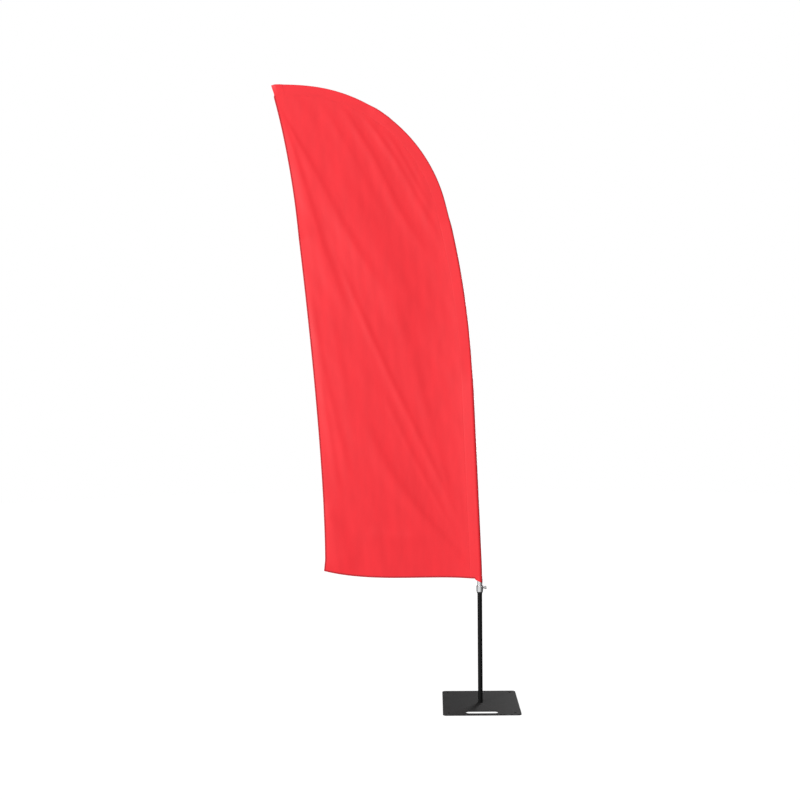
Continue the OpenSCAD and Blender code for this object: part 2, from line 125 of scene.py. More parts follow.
def mast_at(s):
    """The point s along the mast's axis, in x and z, and how far the mast leans there."""
    x, z, lean = 0.0, MAST_FOOT, 0.0
    for run, radius in zip(RUNS, RADII):
        part = min(s, run)
        if radius:
            turn = part / radius
            x += radius * (math.cos(lean + turn) - math.cos(lean))
            z += radius * (math.sin(lean + turn) - math.sin(lean))
            lean += turn
        else:
            x -= part * math.sin(lean)
            z += part * math.cos(lean)
        s -= part
    return x, z, lean


def beside_mast(s, outwards):
    """The point s along the mast and that far outwards from its axis, in x and z."""
    x, z, lean = mast_at(s)
    return x + outwards * math.cos(lean), z + outwards * math.sin(lean)


def smooth(low, high, value):
    """0 below low, 1 above high, and an eased step in between."""
    t = np.clip((np.asarray(value, float) - low) / (high - low), 0.0, 1.0)
    return t * t * (3 - 2 * t)


def on_sleeve(s, outwards):
    """A point of the sleeve in x and z: near the tip its rows slant along the leech."""
    slant = LEECH_SLANT * outwards * float(smooth(SLANT_START, FLAG_TIP, s))
    return beside_mast(s + slant, outwards)


def cubic(points, count):
    t = np.linspace(0.0, 1.0, count)[:, None]
    a, b, c, d = (np.array(p) for p in points)
    return (1 - t) ** 3 * a + 3 * (1 - t) ** 2 * t * b + 3 * (1 - t) * t * t * c + t ** 3 * d


class Line:
    """A line through close points in x and z, read by how far along it a point is."""

    REACH = 0.004           # the share of the line on each side that gives its direction

    def __init__(self, points):
        self.points = np.array(points, float)
        steps = np.linalg.norm(np.diff(self.points, axis=0), axis=1)
        self.far = np.concatenate([[0.0], np.cumsum(steps)])
        self.length = float(self.far[-1])

    def at(self, share):
        far = np.asarray(share, float) * self.length
        x = np.interp(far, self.far, self.points[:, 0])
        z = np.interp(far, self.far, self.points[:, 1])
        return np.stack([x, z], axis=-1)

    def inward(self, share, side):
        """The unit normal in the flag's plane, on the given side of the line."""
        ahead = self.at(np.minimum(np.asarray(share) + self.REACH, 1.0))
        behind = self.at(np.maximum(np.asarray(share) - self.REACH, 0.0))
        along = ahead - behind
        along /= np.linalg.norm(along, axis=-1, keepdims=True)
        return side * np.stack([-along[..., 1], along[..., 0]], axis=-1)


def leech_points():
    """The leech from the foot's corner up to the sleeve's seam at the tip."""
    body = cubic(LEECH_BODY, EDGE_POINTS)
    head = cubic(LEECH_HEAD, HEAD_POINTS)[1:]
    curve = np.vstack([[FOOT_EDGE[0]], body, head])
    return np.vstack([curve[curve[:, 1] < TIP_SEAM[1] - LEECH_END], [TIP_SEAM]])


TIP_SEAM = on_sleeve(FLAG_TIP, -SEAM_DEPTH)
SEAM = Line([on_sleeve(s, -SEAM_DEPTH) for s in np.linspace(SLEEVE_FOOT, FLAG_TIP, SEAM_POINTS)])
MAST_LINE = Line([mast_at(s)[:2] for s in np.linspace(0.0, FLAG_TIP, MAST_POINTS)])
LEECH = Line(leech_points())
FOOT = Line(cubic(FOOT_EDGE, EDGE_POINTS))


# --- How the cloth stands out of its plane ---

SEAM_LEAD = (3.4, 1.4)      # how far the seam stands in front of the axis, low and high, in mm
LEAD_HEIGHTS = (0.9, 3.1)   # between which places along the mast that lead changes
BELLY_SLOPE = 54.0          # slope of the panel at the seam for each metre of that lead
BELLY_WIDTH = 0.13          # distance in which that slope dies out
SEAM_CALM = 0.04            # how wide the strip beside the seam is where the folds die out
LEECH_CURL = 0.0045         # how far the leech falls back
CURL_WIDTH = 0.04           # how wide the part of the leech is that falls back
CURL_FOOT = (0.64, 1.0)     # heights between which the leech starts to fall back
CURL_HEAD = (2.6, 3.2)      # heights between which that ends

FOLD_POINTS = 33            # how many points a fold's line is given
FOLD_SMOOTHING = 6          # how many times its corners are smoothed
FOLD_START = (-0.02, 0.2)   # the shares of its length in which a fold rises
FOLD_END = (0.7, 1.02)      # and those in which it dies out
BELL_SLOPE = 1.65           # the height of a bell curve of width 1 whose greatest slope is 1

RIPPLE_HEIGHT = 0.5 * MM
# Each ripple is its share of that height, then two waves that are multiplied: how fast each one
# turns along x and along z, and its start
RIPPLES = (
    (1.0, (23, 9, 1.0), (-4, 7, 0.0)),
    (0.7, (41, 19, 2.1), (13, 11, 0.6)),
    (0.4, (87, 33, 0.3), (-21, 17, 0.0)),
)


def seam_lead(s):
    low, high = SEAM_LEAD
    return (low + (high - low) * smooth(*LEAD_HEIGHTS, s)) * MM


def fold_path(corners):
    """A smooth line of close points through the few corners that a fold is given."""
    corners = np.array(corners)
    t = np.linspace(0.0, 1.0, FOLD_POINTS)
    knots = np.linspace(0.0, 1.0, len(corners))
    path = np.stack([np.interp(t, knots, corners[:, k]) for k in (0, 1)], axis=1)
    for _ in range(FOLD_SMOOTHING):
        path[1:-1] = (path[:-2] + 2 * path[1:-1] + path[2:]) / 4
    return path


def beside_path(x, z, path):
    """Where each point is beside a path: how far off, at what share of it, and on which side."""
    nearest = np.full(x.shape, np.inf)
    where = np.zeros(x.shape)
    side = np.zeros(x.shape)
    for k in range(len(path) - 1):
        a, b = path[k], path[k + 1]
        step = b - a
        share = np.clip(((x - a[0]) * step[0] + (z - a[1]) * step[1]) / (step @ step), 0, 1)
        dx, dz = x - a[0] - share * step[0], z - a[1] - share * step[1]
        away = np.hypot(dx, dz)
        closer = away < nearest
        nearest = np.where(closer, away, nearest)
        where = np.where(closer, (k + share) / (len(path) - 1), where)
        side = np.where(closer, np.sign(dz * step[0] - dx * step[1]), side)
    return nearest, where, side


def fold_height(x, z, corners, half_start, half_end, rise, steepness):
    """One fold along a smooth line: slow on its left, steeper on its right, fading at its ends."""
    nearest, where, side = beside_path(x, z, fold_path(corners))
    half = (half_start + (half_end - half_start) * where) * MM
    beyond = side * nearest + half
    width = np.where(beyond < 0, rise * half, half)
    ends = smooth(*FOLD_START, where) * (1 - smooth(*FOLD_END, where))
    return BELL_SLOPE * steepness * half * ends * np.exp(-0.5 * (beyond / width) ** 2)


def nearest_on(x, z, line):
    """How far each point is from a line, and which of the line's points is nearest."""
    away = np.hypot(x[..., None] - line.points[:, 0], z[..., None] - line.points[:, 1])
    return np.min(away, axis=-1), np.argmin(away, axis=-1)


def ripples(x, z):
    """Slight unevenness of hanging cloth: a few crossing waves."""
    wave = np.zeros(x.shape)
    for strength, *waves in RIPPLES:
        first, second = (np.sin(p * x + q * z + start) for p, q, start in waves)
        wave += strength * first * second
    return RIPPLE_HEIGHT * wave


def drape(x, z):
    """How far the panel stands out of the flag's plane, with the front towards -Y."""
    x, z = np.asarray(x, float), np.asarray(z, float)
    front = ripples(x, z)
    for fold in FOLDS:
        front += fold_height(x, z, *fold)
    from_mast, nearest = nearest_on(x, z, MAST_LINE)
    from_seam = np.clip(from_mast - SEAM_DEPTH, 0, None)
    lead = seam_lead(nearest * FLAG_TIP / (MAST_POINTS - 1))
    front *= smooth(0.0, SEAM_CALM, from_seam)
    belly = BELLY_SLOPE * lead * BELLY_WIDTH * (1 - np.exp(-from_seam / BELLY_WIDTH))
    curl = LEECH_CURL * np.exp(-nearest_on(x, z, LEECH)[0] / CURL_WIDTH)
    ends = smooth(*CURL_FOOT, z) * (1 - smooth(*CURL_HEAD, z))
    return belly - lead - front + curl * ends


def pole_radius(s):
    far, radius = zip(*POLE_RADII)
    return np.interp(s, far, radius) * MM


FLAT_SHARE = 0.3            # the share of the way round in each of the sleeve's flat sides
SEAM_GAP = 0.25 * MM        # half the room that the panel has between the two at the seam


def sleeve_ring(around, s, depth, ease):
    """The sleeve's teardrop section, from its seam over the front and back to the seam.
    around goes from 0 to 1. Returns how far outwards from the mast and how far back in y."""
    radius = pole_radius(s) + ease
    tangent = math.pi - np.arccos(np.clip(radius / depth, 0, 1))
    side = np.where(around < 0.5, -1.0, 1.0)
    near = np.minimum(around, 1 - around)
    angle = tangent * (around - 0.5) / (0.5 - FLAT_SHARE)
    share = np.clip(near / FLAT_SHARE, 0, 1)
    touch_x = radius * np.cos(tangent)
    touch_y = side * radius * np.sin(tangent)
    seam_y = side * SEAM_GAP - seam_lead(s)
    flat_x = -depth + share * (touch_x + depth)
    flat_y = seam_y + share * (touch_y - seam_y)
    outwards = np.where(near < FLAT_SHARE, flat_x, radius * np.cos(angle))
    back = np.where(near < FLAT_SHARE, flat_y, radius * np.sin(angle))
    return outwards, back


# --- Making pieces ---

MERGE = 0.01 * MM           # vertices closer than this are one
CLOTH_MERGE = 0.02 * MM
HEM_SIDES = 12              # sides of the tube that a hem is
HEM_OVER = 0.8 * MM         # how far a hem stands out past the edge that it covers
HEM_FLATNESS = 0.4          # a lower power makes a hem's section more like a box
FLAT_WITHIN = 0.6           # degrees within which faces are merged into one
ROUND_ABOVE = 25.0          # degrees above which an edge is rounded
SHARP_ABOVE = 50.0          # degrees above which an edge is shaded sharp
STITCH_PITCH = 4.2 * MM


def finish_piece(name, bm, material, smooth_faces=True):
    for face in bm.faces:
        face.smooth = smooth_faces
    mesh = bpy.data.meshes.new(name)
    bm.to_mesh(mesh)
    bm.free()
    piece = bpy.data.objects.new(name, mesh)
    bpy.context.scene.collection.objects.link(piece)
    mesh.materials.append(material)
    return piece


def cloth_piece(name, across, along, place, weave, material, thickness, closed=False):
    """A sheet of cloth. The point (u, v) of a flat grid goes where place says, and weave gives
    its place on the flat cloth, in metres."""
    bm = bmesh.new()
    bmesh.ops.create_grid(bm, x_segments=across, y_segments=along, size=0.5)
    flat = np.array([vert.co for vert in bm.verts])
    u = np.clip(flat[:, 0] + 0.5, 0, 1)
    v = np.clip(flat[:, 1] + 0.5, 0, 1)
    points = place(u, v)
    threads = weave(u, v)
    layer = bm.loops.layers.uv.new("weave")
    for face in bm.faces:
        for loop in face.loops:
            loop[layer].uv = threads[loop.vert.index]
    for vert, point in zip(bm.verts, points):
        vert.co = point
    bmesh.ops.remove_doubles(bm, verts=bm.verts, dist=CLOTH_MERGE)
    if closed:
        bmesh.ops.recalc_face_normals(bm, faces=bm.faces)
    piece = finish_piece(name, bm, material)
    if thickness:
        wall = piece.modifiers.new("thickness", "SOLIDIFY")
        wall.thickness = thickness
        wall.offset = 0.0
        even = piece.modifiers.new("even_shading", "WEIGHTED_NORMAL")
        even.weight = 90
    return piece


FOOT_REACH = 0.45           # the share of the flag's height in which the foot's curve fades
SLEEVE_GIRTH = 0.145        # how wide the sleeve's cloth is when it lies flat


def flag_place(u, v):
    """u runs from the leech to the sleeve's seam, and v from the foot to the tip."""
    luff = SEAM.at(v)
    free = LEECH.at(v)
    share = u[:, None]
    point = free + (luff - free) * share
    chord = FOOT.at([0.0]) + (FOOT.at([1.0]) - FOOT.at([0.0])) * share
    lift = (1 - smooth(0.0, FOOT_REACH, v))[:, None] * (FOOT.at(u) - chord)
    point = point + lift
    back = drape(point[:, 0], point[:, 1])
    return np.stack([point[:, 0], back, point[:, 1]], axis=1)


def flag_weave(u, v):
    points = flag_place(u, v)
    return points[:, [0, 2]]


def sleeve_place(start, end, depth_at, ease, foot_rise=None, part=(0.0, 1.0)):
    def place(u, v):
        spot = []
        for around, share in zip(u, v):
            s = start + (end - start) * share
            depth = depth_at(s)
            around = part[0] + (part[1] - part[0]) * around
            outwards, back = (float(a) for a in sleeve_ring(around, s, depth, ease))
            if foot_rise:
                s += foot_rise(outwards) * (1 - share)
            x, z = on_sleeve(s, outwards)
            spot.append((x, back, z))
        return np.array(spot)
    return place


def sleeve_weave(start, end):
    return lambda u, v: np.stack([u * SLEEVE_GIRTH, start + (end - start) * v], axis=1)


def edge_band(name, line, side, width, height, along, end=1.0):
    """A hem: a flat tube of cloth folded over an edge of the panel, up to the share end of it."""
    def place(u, v):
        turn = 2 * math.pi * u
        inward = width / 2 - HEM_OVER - (width / 2) * np.cos(turn)
        spot = line.at(end * v) + line.inward(end * v, side) * inward[:, None]
        lift = height / 2 * np.sign(np.sin(turn)) * np.abs(np.sin(turn)) ** HEM_FLATNESS
        return np.stack([spot[:, 0], drape(spot[:, 0], spot[:, 1]) + lift, spot[:, 1]], axis=1)

    def weave(u, v):
        return np.stack([u * 2 * width, end * v * line.length], axis=1)

    return cloth_piece(name, HEM_SIDES, along, place, weave, shaded_hem_red, 0, closed=True)


def stitching(name, spots, length, thick, material):
    """Short thread stitches, one at each place and turned along its direction."""
    bm = bmesh.new()
    bmesh.ops.create_uvsphere(bm, u_segments=5, v_segments=4, radius=0.5)
    bmesh.ops.scale(bm, vec=(length, thick, thick), verts=bm.verts)
    stitch = bpy.data.meshes.new("stitch")
    bm.to_mesh(stitch)
    bm.clear()
    for place, direction in spots:
        turn = Vector(direction).to_track_quat("X", "Y").to_matrix().to_4x4()
        laid = stitch.copy()
        laid.transform(Matrix.Translation(place) @ turn)
        bm.from_mesh(laid)
        bpy.data.meshes.remove(laid)
    bpy.data.meshes.remove(stitch)
    return finish_piece(name, bm, material)


def panel_stitches(line, side, inward, lift, end=1.0):
    """Places and directions of stitches beside an edge, on the front and on the back."""
    count = int(end * line.length / STITCH_PITCH)
    share = end * (np.arange(count) + 0.5) / count
    spot = line.at(share) + line.inward(share, side) * inward
    back = drape(spot[:, 0], spot[:, 1])
    along = np.gradient(np.stack([spot[:, 0], back, spot[:, 1]], axis=1), axis=0)
    found = []
    for face in (-1, 1):
        for (x, z), y, way in zip(spot, back, along):
            found.append((Vector((x, y + face * lift, z)), way))
    return found


def smoothed_copy(node, name, material, rounding):
    """A copy of a CAD node with its triangles merged and its edges rounded."""
    bm = bmesh.new()
    bm.from_mesh(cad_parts[node].data)
    bmesh.ops.remove_doubles(bm, verts=bm.verts, dist=MERGE)
    bmesh.ops.dissolve_limit(
        bm, angle_limit=math.radians(FLAT_WITHIN), verts=bm.verts, edges=bm.edges
    )
    bmesh.ops.bevel(
        bm, geom=edges_above(bm, ROUND_ABOVE), offset=rounding, offset_type="OFFSET", segments=2,
        profile=0.5, affect="EDGES", clamp_overlap=True, material=-1,
    )
    for edge in edges_above(bm, SHARP_ABOVE):
        edge.smooth = False
    piece = finish_piece(name, bm, material)
    flat_faces = piece.modifiers.new("flat_faces", "WEIGHTED_NORMAL")
    flat_faces.keep_sharp = True
    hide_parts(node)
    return piece


def edges_above(bm, degrees):
    """The edges where two faces meet at more than that angle."""
    return [
        edge for edge in bm.edges
        if len(edge.link_faces) == 2 and edge.calc_face_angle(0.0) > math.radians(degrees)
    ]


# --- Finishes ---

def add(tree, kind, inputs=None, **settings):
    """A shader node: its settings, and its inputs as sockets to link or values to set."""
    made = tree.nodes.new("ShaderNode" + kind)
    for name, value in settings.items():
        setattr(made, name, value)
    for name, value in (inputs or {}).items():
        if isinstance(value, bpy.types.NodeSocket):
            tree.links.new(value, made.inputs[name])
        else:
            made.inputs[name].default_value = value
    return made


def start_finish(name, roughness, metallic=0.0, **sockets):
    made = bpy.data.materials.new(name)
    made.use_nodes = True
    shader = made.node_tree.nodes["Principled BSDF"]
    shader.inputs["Roughness"].default_value = roughness
    shader.inputs["Metallic"].default_value = metallic
    for socket, value in sockets.items():
        shader.inputs[socket.replace("_", " ")].default_value = value
    return made, made.node_tree, shader


def pattern_space(tree, stretch=(1, 1, 1), flat=False):
    """Coordinates in metres: the piece's own cloth coordinates, or its place in the object."""
    if flat:
        source = add(tree, "UVMap", uv_map="weave").outputs["UV"]
    else:
        source = add(tree, "TexCoord").outputs["Object"]
    return add(tree, "Mapping", {"Vector": source, "Scale": stretch}).outputs["Vector"]


def cloud(tree, space, scale, detail=3.0, rough=0.55):
    inputs = {"Vector": space, "Scale": scale, "Detail": detail, "Roughness": rough}
    return add(tree, "TexNoise", inputs).outputs["Fac"]


def spread(tree, value, low, high, to_low=0.0, to_high=1.0):
    inputs = {
        "Value": value, "From Min": low, "From Max": high, "To Min": to_low, "To Max": to_high,
    }
    return add(tree, "MapRange", inputs).outputs["Result"]


def tones(tree, value, *stops):
    """A colour that changes with value. Each stop is a place and a colour."""
    ramp = add(tree, "ValToRGB", {"Fac": value})
    elements = ramp.color_ramp.elements
    while len(elements) < len(stops):
        elements.new(0.5)
    for element, (place, colour) in zip(elements, stops):
        element.position = place
        element.color = (*colour, 1.0)
    return ramp.outputs["Color"]


def join(tree, how, a, b, clamp=False):
    made = add(tree, "Math", operation=how, use_clamp=clamp)
    for socket, value in zip(made.inputs, (a, b)):
        if isinstance(value, bpy.types.NodeSocket):
            tree.links.new(value, socket)
        else:
            socket.default_value = value
    return made.outputs["Value"]


def relief(tree, shader, *layers):
    """Bump on the shader: each layer is a height, its strength and its depth in metres."""
    normal = None
    for height, strength, depth in layers:
        inputs = {"Height": height, "Strength": strength, "Distance": depth}
        if normal:
            inputs["Normal"] = normal
        normal = add(tree, "Bump", inputs).outputs["Normal"]
    tree.links.new(normal, shader.inputs["Normal"])


def connect(tree, shader, **sockets):
    for socket, value in sockets.items():
        tree.links.new(value, shader.inputs[socket.replace("_", " ")])


def shade(colour, factor):
    return tuple(min(1.0, c * factor) for c in colour)


def knitted(name, colour, roughness=0.46):
    """Warp-knitted polyester: fine wales, a faint sheen and slight unevenness of the dye."""
    made, tree, shader = start_finish(
        name, roughness, Sheen_Weight=0.03, Sheen_Roughness=0.4, Specular_IOR_Level=0.32
    )
    space = pattern_space(tree, flat=True)
    wales = add(
        tree, "TexWave", {"Vector": space, "Scale": 160.0, "Distortion": 0.4}
    ).outputs["Fac"]
    courses = add(
        tree, "TexWave", {"Vector": space, "Scale": 120.0, "Distortion": 0.4}, bands_direction="Y"
    ).outputs["Fac"]
    mesh = join(tree, "MULTIPLY", wales, courses)
    dye = cloud(tree, pattern_space(tree, (3.0, 0.8, 1.0), flat=True), 6.0, 4.0)
    fibre = cloud(tree, space, 900.0, 2.0)
    mixed = join(tree, "ADD", join(tree, "MULTIPLY", dye, 0.7), join(tree, "MULTIPLY", fibre, 0.3))
    colours = tones(tree, mixed, (0.3, shade(colour, 0.93)), (0.7, shade(colour, 1.05)))
    worn = spread(tree, dye, 0.3, 0.7, roughness - 0.03, roughness + 0.03)
    connect(tree, shader, Base_Color=colours, Roughness=worn)
    relief(tree, shader, (mesh, 0.25, 0.00012), (fibre, 0.1, 0.00005))
    return made


def painted(name, colour, roughness, grain, peel, edge=None, **sockets):
    """Paint or powder coat: a fine peel, uneven gloss, dust, and bare metal where it rubs."""
    made, tree, shader = start_finish(name, roughness, **sockets)
    space = pattern_space(tree)
    dust = cloud(tree, space, 14.0, 6.0, 0.65)
    fine = cloud(tree, space, grain, 2.0)
    mottled = join(
        tree, "ADD", join(tree, "MULTIPLY", dust, 0.75), join(tree, "MULTIPLY", fine, 0.25)
    )
    colours = tones(tree, mottled, (0.35, shade(colour, 0.85)), (0.7, shade(colour, 1.25)))
    if edge:
        colours = rubbed_edges(tree, colours, *edge)
    gloss = spread(tree, dust, 0.3, 0.7, roughness - 0.06, roughness + 0.1)
    connect(tree, shader, Base_Color=colours, Roughness=gloss)
    relief(tree, shader, (fine, 0.3, peel))
    return made


def rubbed_edges(tree, colours, start, end, metal):
    """Bare metal where the larger of x and y, either way, comes near the plate's edge."""
    place = add(tree, "SeparateXYZ", {"Vector": add(tree, "TexCoord").outputs["Object"]})
    out = [join(tree, "ABSOLUTE", place.outputs[axis], 0.0) for axis in ("X", "Y")]
    near = spread(tree, join(tree, "MAXIMUM", *out), start, end)
    chips = spread(tree, cloud(tree, pattern_space(tree), 55.0, 6.0, 0.7), 0.52, 0.62)
    amount = join(tree, "MULTIPLY", near, chips, clamp=True)
    mix = tree.nodes.new("ShaderNodeMix")
    mix.data_type = "RGBA"
    tree.links.new(amount, mix.inputs[0])
    tree.links.new(colours, mix.inputs[6])
    mix.inputs[7].default_value = (*metal, 1.0)
    return mix.outputs[2]


def machined(name, colour, roughness, direction, lines, **sockets):
    """Bare metal with fine tool or drawing marks along one direction, and handling marks."""
    made, tree, shader = start_finish(name, roughness, 1.0, **sockets)
    marks = cloud(tree, pattern_space(tree, direction), lines, 3.0, 0.7)
    smears = cloud(tree, pattern_space(tree), 60.0, 5.0, 0.6)
    colours = tones(tree, marks, (0.3, shade(colour, 0.86)), (0.7, shade(colour, 1.06)))
    gloss = join(
        tree, "ADD", spread(tree, marks, 0.3, 0.7, roughness * 0.75, roughness * 1.2),
        spread(tree, smears, 0.45, 0.7, 0.0, 0.12),
    )
    connect(tree, shader, Base_Color=colours, Roughness=gloss)
    relief(tree, shader, (marks, 0.2, 0.00004))
    return made


def moulded(name, colour, roughness, texture, depth, **sockets):
    """Moulded plastic or rubber: a spark-eroded texture, flow marks and a little dust."""
    made, tree, shader = start_finish(name, roughness, **sockets)
    space = pattern_space(tree)
    pits = add(tree, "TexVoronoi", {"Vector": space, "Scale": texture}).outputs["Distance"]
    flow = cloud(tree, space, 40.0, 5.0, 0.6)
    colours = tones(tree, flow, (0.3, shade(colour, 0.8)), (0.7, shade(colour, 1.2)))
    gloss = spread(tree, flow, 0.3, 0.7, roughness - 0.05, roughness + 0.1)
    connect(tree, shader, Base_Color=colours, Roughness=gloss)
    relief(tree, shader, (pits, 0.3, depth))
    return made


def wound_fibre(name, colour):
    """Glass fibre in dark resin: slanting rovings under a clear, slightly scratched skin."""
    made, tree, shader = start_finish(name, 0.28, Coat_Weight=0.4, Coat_Roughness=0.15)
    space = pattern_space(tree)
    rovings = add(
        tree, "TexWave", {"Vector": space, "Scale": 45.0, "Distortion": 2.5, "Detail": 2.0},
        bands_direction="DIAGONAL",
    ).outputs["Fac"]
    scratches = cloud(tree, pattern_space(tree, (1, 1, 0.05)), 500.0, 2.0)
    colours = tones(tree, rovings, (0.2, shade(colour, 0.6)), (0.8, shade(colour, 1.6)))
    connect(tree, shader, Base_Color=colours, Roughness=spread(tree, scratches, 0.3, 0.7, 0.2, 0.4))
    relief(tree, shader, (rovings, 0.15, 0.00008), (scratches, 0.1, 0.00003))
    return made


def webbing(name, colour):
    """Elastic webbing: ribs across the strap and threads along it."""
    made, tree, shader = start_finish(name, 0.8, Sheen_Weight=0.3, Sheen_Roughness=0.5)
    space = pattern_space(tree)
    ribs = add(
        tree, "TexWave", {"Vector": space, "Scale": 330.0}, bands_direction="Z"
    ).outputs["Fac"]
    threads = add(
        tree, "TexWave", {"Vector": space, "Scale": 260.0}, bands_direction="Y"
    ).outputs["Fac"]
    woven = join(tree, "MULTIPLY", ribs, threads)
    fuzz = cloud(tree, space, 700.0, 3.0)
    colours = tones(tree, woven, (0.1, shade(colour, 0.7)), (0.9, shade(colour, 1.3)))
    connect(tree, shader, Base_Color=colours, Roughness=spread(tree, fuzz, 0.3, 0.7, 0.7, 0.9))
    relief(tree, shader, (woven, 0.6, 0.0003), (fuzz, 0.2, 0.0001))
    return made


def thread(name, colour):
    """Spun polyester thread: twisted strands."""
    made, tree, shader = start_finish(name, 0.5, Sheen_Weight=0.2)
    strands = cloud(tree, pattern_space(tree), 2500.0, 2.0)
    colours = tones(tree, strands, (0.3, shade(colour, 0.8)), (0.7, shade(colour, 1.15)))
    connect(tree, shader, Base_Color=colours, Roughness=spread(tree, strands, 0.3, 0.7, 0.4, 0.6))
    relief(tree, shader, (strands, 0.4, 0.0001))
    return made


RED = (0.89, 0.022, 0.033)
flag_red = knitted("flag_red_knit", RED)
# The hems are a darker red than the panel. This is partly the real double layer of cloth, and
# partly painted shade of the rolled edge that turns away from the light.
shaded_hem_red = knitted("flag_red_hem_shaded", shade(RED, 0.6), 0.6)
thread_red = thread("red_thread", shade(RED, 0.95))
powder_black = painted(
    "powder_black_coat", (0.021, 0.0201, 0.0205), 0.62, 900.0, 0.00006,
    (0.1988, 0.2, (0.09, 0.09, 0.095)), Specular_IOR_Level=0.14,
)
stub_black = painted(
    "stub_black_paint", (0.006, 0.006, 0.006), 0.36, 700.0, 0.00004, Specular_IOR_Level=0.16
)
post_black = painted(
    "post_black_gloss", (0.003, 0.003, 0.0032), 0.3, 500.0, 0.00001, Specular_IOR_Level=0.2
)
housing_black = moulded("housing_black_plastic", (0.014, 0.014, 0.015), 0.4, 1500.0, 0.00008)
ferrule_black = moulded("ferrule_black_plastic", (0.02, 0.02, 0.02), 0.45, 1200.0, 0.00008)
cap_rubber = moulded("cap_rubber", (0.018, 0.018, 0.018), 0.85, 900.0, 0.0001)
pad_nylon = moulded("pad_nylon", (0.78, 0.77, 0.72), 0.5, 1200.0, 0.00005, Subsurface_Weight=0.1)
collar_chrome = machined("collar_chrome", (0.93, 0.935, 0.95), 0.09, (1, 1, 12), 220.0)
screw_aluminium = machined("screw_cast_aluminium", (0.72, 0.72, 0.72), 0.34, (1, 1, 1), 420.0)
mast_aluminium = machined("mast_drawn_aluminium", (0.91, 0.915, 0.93), 0.24, (1, 1, 0.03), 900.0)
ferrule_metal = machined("ferrule_turned_metal", (0.62, 0.62, 0.64), 0.3, (1, 1, 20), 160.0)
turned_steel = machined("turned_steel", (0.55, 0.55, 0.57), 0.3, (1, 1, 25), 160.0)
zinc_screw = machined("zinc_plated_steel", (0.58, 0.59, 0.6), 0.36, (1, 1, 1), 300.0)
bearing_steel = machined("bearing_ground_steel", (0.66, 0.66, 0.68), 0.14, (1, 1, 30), 160.0)
ball_steel = machined("ball_polished_steel", (0.76, 0.76, 0.78), 0.06, (1, 1, 1), 700.0)
cage_brass = machined("cage_pressed_brass", (0.66, 0.48, 0.2), 0.32, (1, 1, 1), 350.0)
spring_steel = machined("spring_blued_steel", (0.13, 0.13, 0.15), 0.34, (1, 1, 20), 160.0)
fibre_black = wound_fibre("mast_glass_fibre", (0.02, 0.02, 0.021))
strap_dark = webbing("strap_elastic_webbing", (0.10, 0.018, 0.022))

NODE_FINISHES = {
    "stub_screw": zinc_screw,
    "bearing_outer_rings": bearing_steel,
    "bearing_inner_rings": bearing_steel,
    "bearing_spacer": turned_steel,
    "bearing_cages": cage_brass,
    "bearing_balls": ball_steel,
    "rotor_spindle": turned_steel,
    "retaining_ring": spring_steel,
    "screw_pad": pad_nylon,
    "mast_lower_tube": mast_aluminium,
    "lower_ferrule": ferrule_black,
    "mast_middle_tube": fibre_black,
    "middle_bush": ferrule_black,
    "middle_collar": ferrule_black,
    "mast_upper_rod": fibre_black,
    "tip_ferrule": ferrule_metal,
    "mast_tip_rod": fibre_black,
    "tip_cap": cap_rubber,
}


def refinish_nodes():
    """The CAD nodes whose shape stays get their finish."""
    for node, material in NODE_FINISHES.items():
        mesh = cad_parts[node].data
        if not mesh.materials:
            mesh.materials.append(material)
        for k in range(len(mesh.materials)):
            mesh.materials[k] = material


def make_base():
    plate = smoothed_copy("base_plate", "plate_coated", powder_black, 0.7 * MM)
    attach(plate, "base")
    stub = smoothed_copy("stub_spigot", "stub_painted", stub_black, 0.3 * MM)
    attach(stub, "base")
    post = smoothed_copy("post_tube", "post_painted", post_black, 0.2 * MM)
    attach(post, "post")
    housing = smoothed_copy("bearing_housing", "housing_moulded", housing_black, 0.3 * MM)
    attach(housing, "post")


def make_collar():
    collar = smoothed_copy("clamp_collar", "collar_plated", collar_chrome, 0.4 * MM)
    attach(collar, "mast")
    screw = smoothed_copy("thumb_screw", "thumb_screw_cast", screw_aluminium, 0.4 * MM)
    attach(screw, "thumb_screw")


def on_mast(piece, slot, *nodes):
    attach(piece, "mast")
    if nodes:
        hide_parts(*nodes)


CLOTH_WALL = 0.4 * MM
CUFF_WALL = 0.7 * MM
SLEEVE_HEM_WALL = 1.0 * MM
SLEEVE_HEM = (-0.0008, 0.0082)                  # from the sleeve's foot, along the mast
SLEEVE_HEM_WIDTH = 0.009
SLEEVE_HEM_PARTS = (("sleeve_hem_front", (0.0, 0.16)), ("sleeve_hem_back", (0.84, 1.0)))

# Room between the mast and the inner side of each cloth
SLEEVE_EASE = 0.4 * MM
PATCH_EASE = 0.9 * MM
CUFF_EASE = 1.1 * MM

CUFF_TIGHT = 0.0215         # the cuff's depth at its foot
CUFF_WIDENS = 0.013         # how much deeper it is at the flag's foot
CUFF_LOWEST = 0.0045
CUFF_SLANT = 0.4            # how far its hem drops for each metre outwards

LEECH_HEM = 8 * MM
FOOT_HEM = 9 * MM
HEM_HEIGHT = 1.3 * MM
LEECH_HEM_END = 0.998

HEM_STITCH = (2.8 * MM, 0.4 * MM)               # length and thickness
SEAM_STITCH = (2.6 * MM, 0.3 * MM)
HEM_STITCH_LIFT = 0.68 * MM
SEAM_STITCH_LIFT = 0.3 * MM
LEECH_STITCH_IN = 5.2 * MM
FOOT_STITCH_IN = 6.2 * MM
SEAM_STITCHES_IN = (2.4 * MM, 6.0 * MM)
LEECH_STITCH_END = 0.99
SEAM_STITCH_END = 0.985


def seam_depth(s):
    return SEAM_DEPTH


def cuff_depth(s):
    """The cuff is tight on the tube at its foot and widens towards the flag's foot."""
    return CUFF_TIGHT + CUFF_WIDENS * float(smooth(CUFF_FOOT, SLEEVE_FOOT, s))


def cuff_slant(outwards):
    """The cuff's hem is lowest on the outer side of the mast."""
    return CUFF_LOWEST - CUFF_SLANT * outwards


